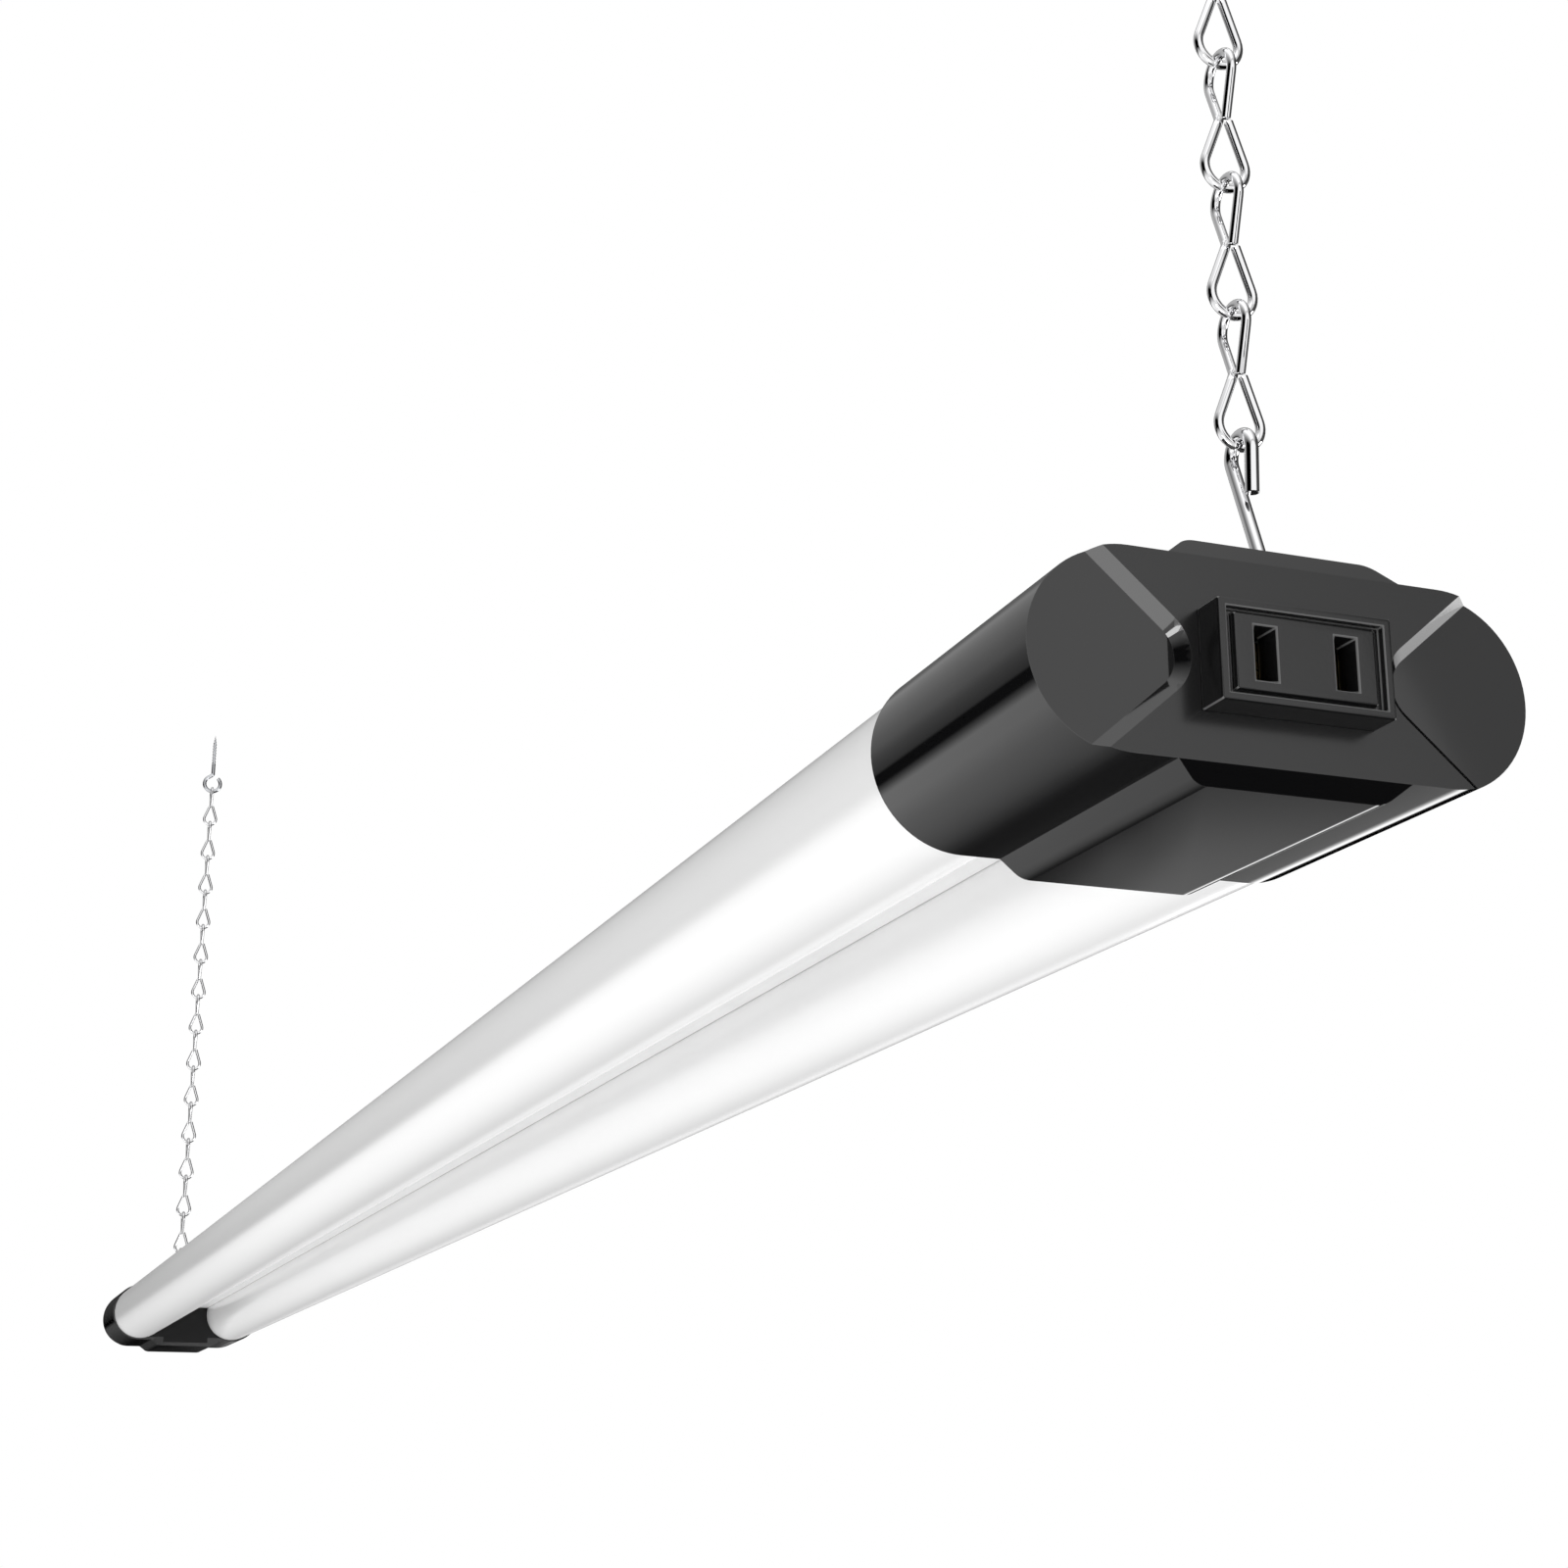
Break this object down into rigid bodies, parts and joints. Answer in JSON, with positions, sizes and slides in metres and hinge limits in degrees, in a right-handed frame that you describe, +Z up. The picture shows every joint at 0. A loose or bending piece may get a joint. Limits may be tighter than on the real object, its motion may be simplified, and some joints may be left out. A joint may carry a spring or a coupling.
{
  "type": "hanging shop light",
  "caption": "Long ceiling light with milky tubes between black end caps, a plug outlet in one cap, hung level on bright wire-link chains from screw hooks.",
  "frame": {"origin": "at the ceiling surface, midway between the two ceiling hooks", "axes": "+X along the tubes towards the end cap with the outlet, +Z up into the ceiling"},
  "size_m": [1.2295, 0.08, 0.3692],
  "materials": {
    "chain_steel": "bright zinc-plated steel wire",
    "zinc_hook": "bright zinc-plated steel screw hook",
    "hanger_wire": "bright plated steel wire",
    "zinc_bracket": "zinc-plated pressed steel",
    "zinc_screw": "zinc-plated screw",
    "cap_plastic": "smooth black moulded plastic, semi-gloss",
    "outlet_plastic": "fine-textured black plastic",
    "milky_tube": "milky translucent plastic, lit from inside",
    "white_housing": "white powder coat",
    "heat_sink": "mill-finish extrusion",
    "white_board": "white solder mask",
    "led": "phosphor-filled package",
    "brass": "plain brass strip",
    "gland_rubber": "black rubber",
    "gland_nylon": "black nylon",
    "green_board": "green solder mask",
    "ferrite": "dark ferrite with yellow tape",
    "capacitor_sleeve": "dark blue shrink sleeve",
    "copper_winding": "enamelled copper winding",
    "component_black": "black moulded package",
    "terminal_plastic": "white nylon",
    "wire_black": "black insulation",
    "wire_white": "white insulation",
    "wire_red": "red insulation"
  },
  "bodies": {
    "ceiling": {"near_ceiling_hook": "zinc_hook", "far_ceiling_hook": "zinc_hook"},
    "near_top_link": {"near_link_01": "chain_steel"},
    "near_chain": {"near_link_02": "chain_steel", "near_link_03": "chain_steel", "near_link_04": "chain_steel", "near_link_05": "chain_steel", "near_link_06": "chain_steel", "near_link_07": "chain_steel", "near_link_08": "chain_steel", "near_link_09": "chain_steel", "near_link_10": "chain_steel", "near_link_11": "chain_steel", "near_link_12": "chain_steel", "near_link_13": "chain_steel", "near_hanger": "hanger_wire"},
    "light": {"near_end_cap": "cap_plastic", "far_end_cap": "cap_plastic", "near_bulkhead": "cap_plastic", "far_bulkhead": "cap_plastic", "housing_spine": "white_housing", "left_tube": "milky_tube", "right_tube": "milky_tube", "left_heat_sink": "heat_sink", "right_heat_sink": "heat_sink", "left_led_board": "white_board", "right_led_board": "white_board", "left_leds": "led", "right_leds": "led", "outlet_frame": "outlet_plastic", "outlet_insert": "outlet_plastic", "outlet_contacts": "brass", "cord_gland": "gland_rubber", "gland_nut": "gland_nylon", "driver_board": "green_board", "driver_transformer": "ferrite", "driver_capacitors": "capacitor_sleeve", "driver_choke": "copper_winding", "driver_transistors": "component_black", "terminal_block": "terminal_plastic", "line_wire": "wire_black", "neutral_wire": "wire_white", "strip_leads": "wire_red", "hanger_brackets": "zinc_bracket", "hanger_pins": "zinc_bracket", "cap_screws": "zinc_screw"},
    "far_hanger": {"far_hanger": "hanger_wire"},
    "far_top_link": {"far_link_01": "chain_steel"},
    "far_chain": {"far_link_02": "chain_steel", "far_link_03": "chain_steel", "far_link_04": "chain_steel", "far_link_05": "chain_steel", "far_link_06": "chain_steel", "far_link_07": "chain_steel", "far_link_08": "chain_steel", "far_link_09": "chain_steel", "far_link_10": "chain_steel", "far_link_11": "chain_steel", "far_link_12": "chain_steel", "far_link_13": "chain_steel"}
  },
  "joints": [
    {"name": "sideways_swing", "type": "hinge", "parent": "ceiling", "child": "near_top_link", "pos_m": [0.6, 0, -0.01375], "axis": [1, 0, 0], "range_deg": [-20, 20]},
    {"name": "lengthwise_swing", "type": "hinge", "parent": "near_top_link", "child": "near_chain", "pos_m": [0.6, 0, -0.03675], "axis": [0, 1, 0], "range_deg": [-12, 12]},
    {"name": "near_hanger_pivot", "type": "hinge", "parent": "near_chain", "child": "light", "pos_m": [0.6, 0, -0.3212], "axis": [0, 1, 0], "range_deg": [-12, 12]},
    {"name": "far_hanger_pivot", "type": "hinge", "parent": "light", "child": "far_hanger", "pos_m": [-0.6, 0, -0.3212], "axis": [0, 1, 0], "range_deg": [-12, 12]},
    {"name": "far_sideways_swing", "type": "hinge", "parent": "ceiling", "child": "far_top_link", "pos_m": [-0.6, 0, -0.01375], "axis": [1, 0, 0], "range_deg": [-20, 20]},
    {"name": "far_lengthwise_swing", "type": "hinge", "parent": "far_top_link", "child": "far_chain", "pos_m": [-0.6, 0, -0.03675], "axis": [0, 1, 0], "range_deg": [-12, 12]}
  ],
  "couplings": [
    {"joint": "far_sideways_swing", "follows": "sideways_swing", "ratio": 1},
    {"joint": "near_hanger_pivot", "follows": "lengthwise_swing", "ratio": -1},
    {"joint": "far_hanger_pivot", "follows": "lengthwise_swing", "ratio": 1},
    {"joint": "far_lengthwise_swing", "follows": "lengthwise_swing", "ratio": 1}
  ]
}
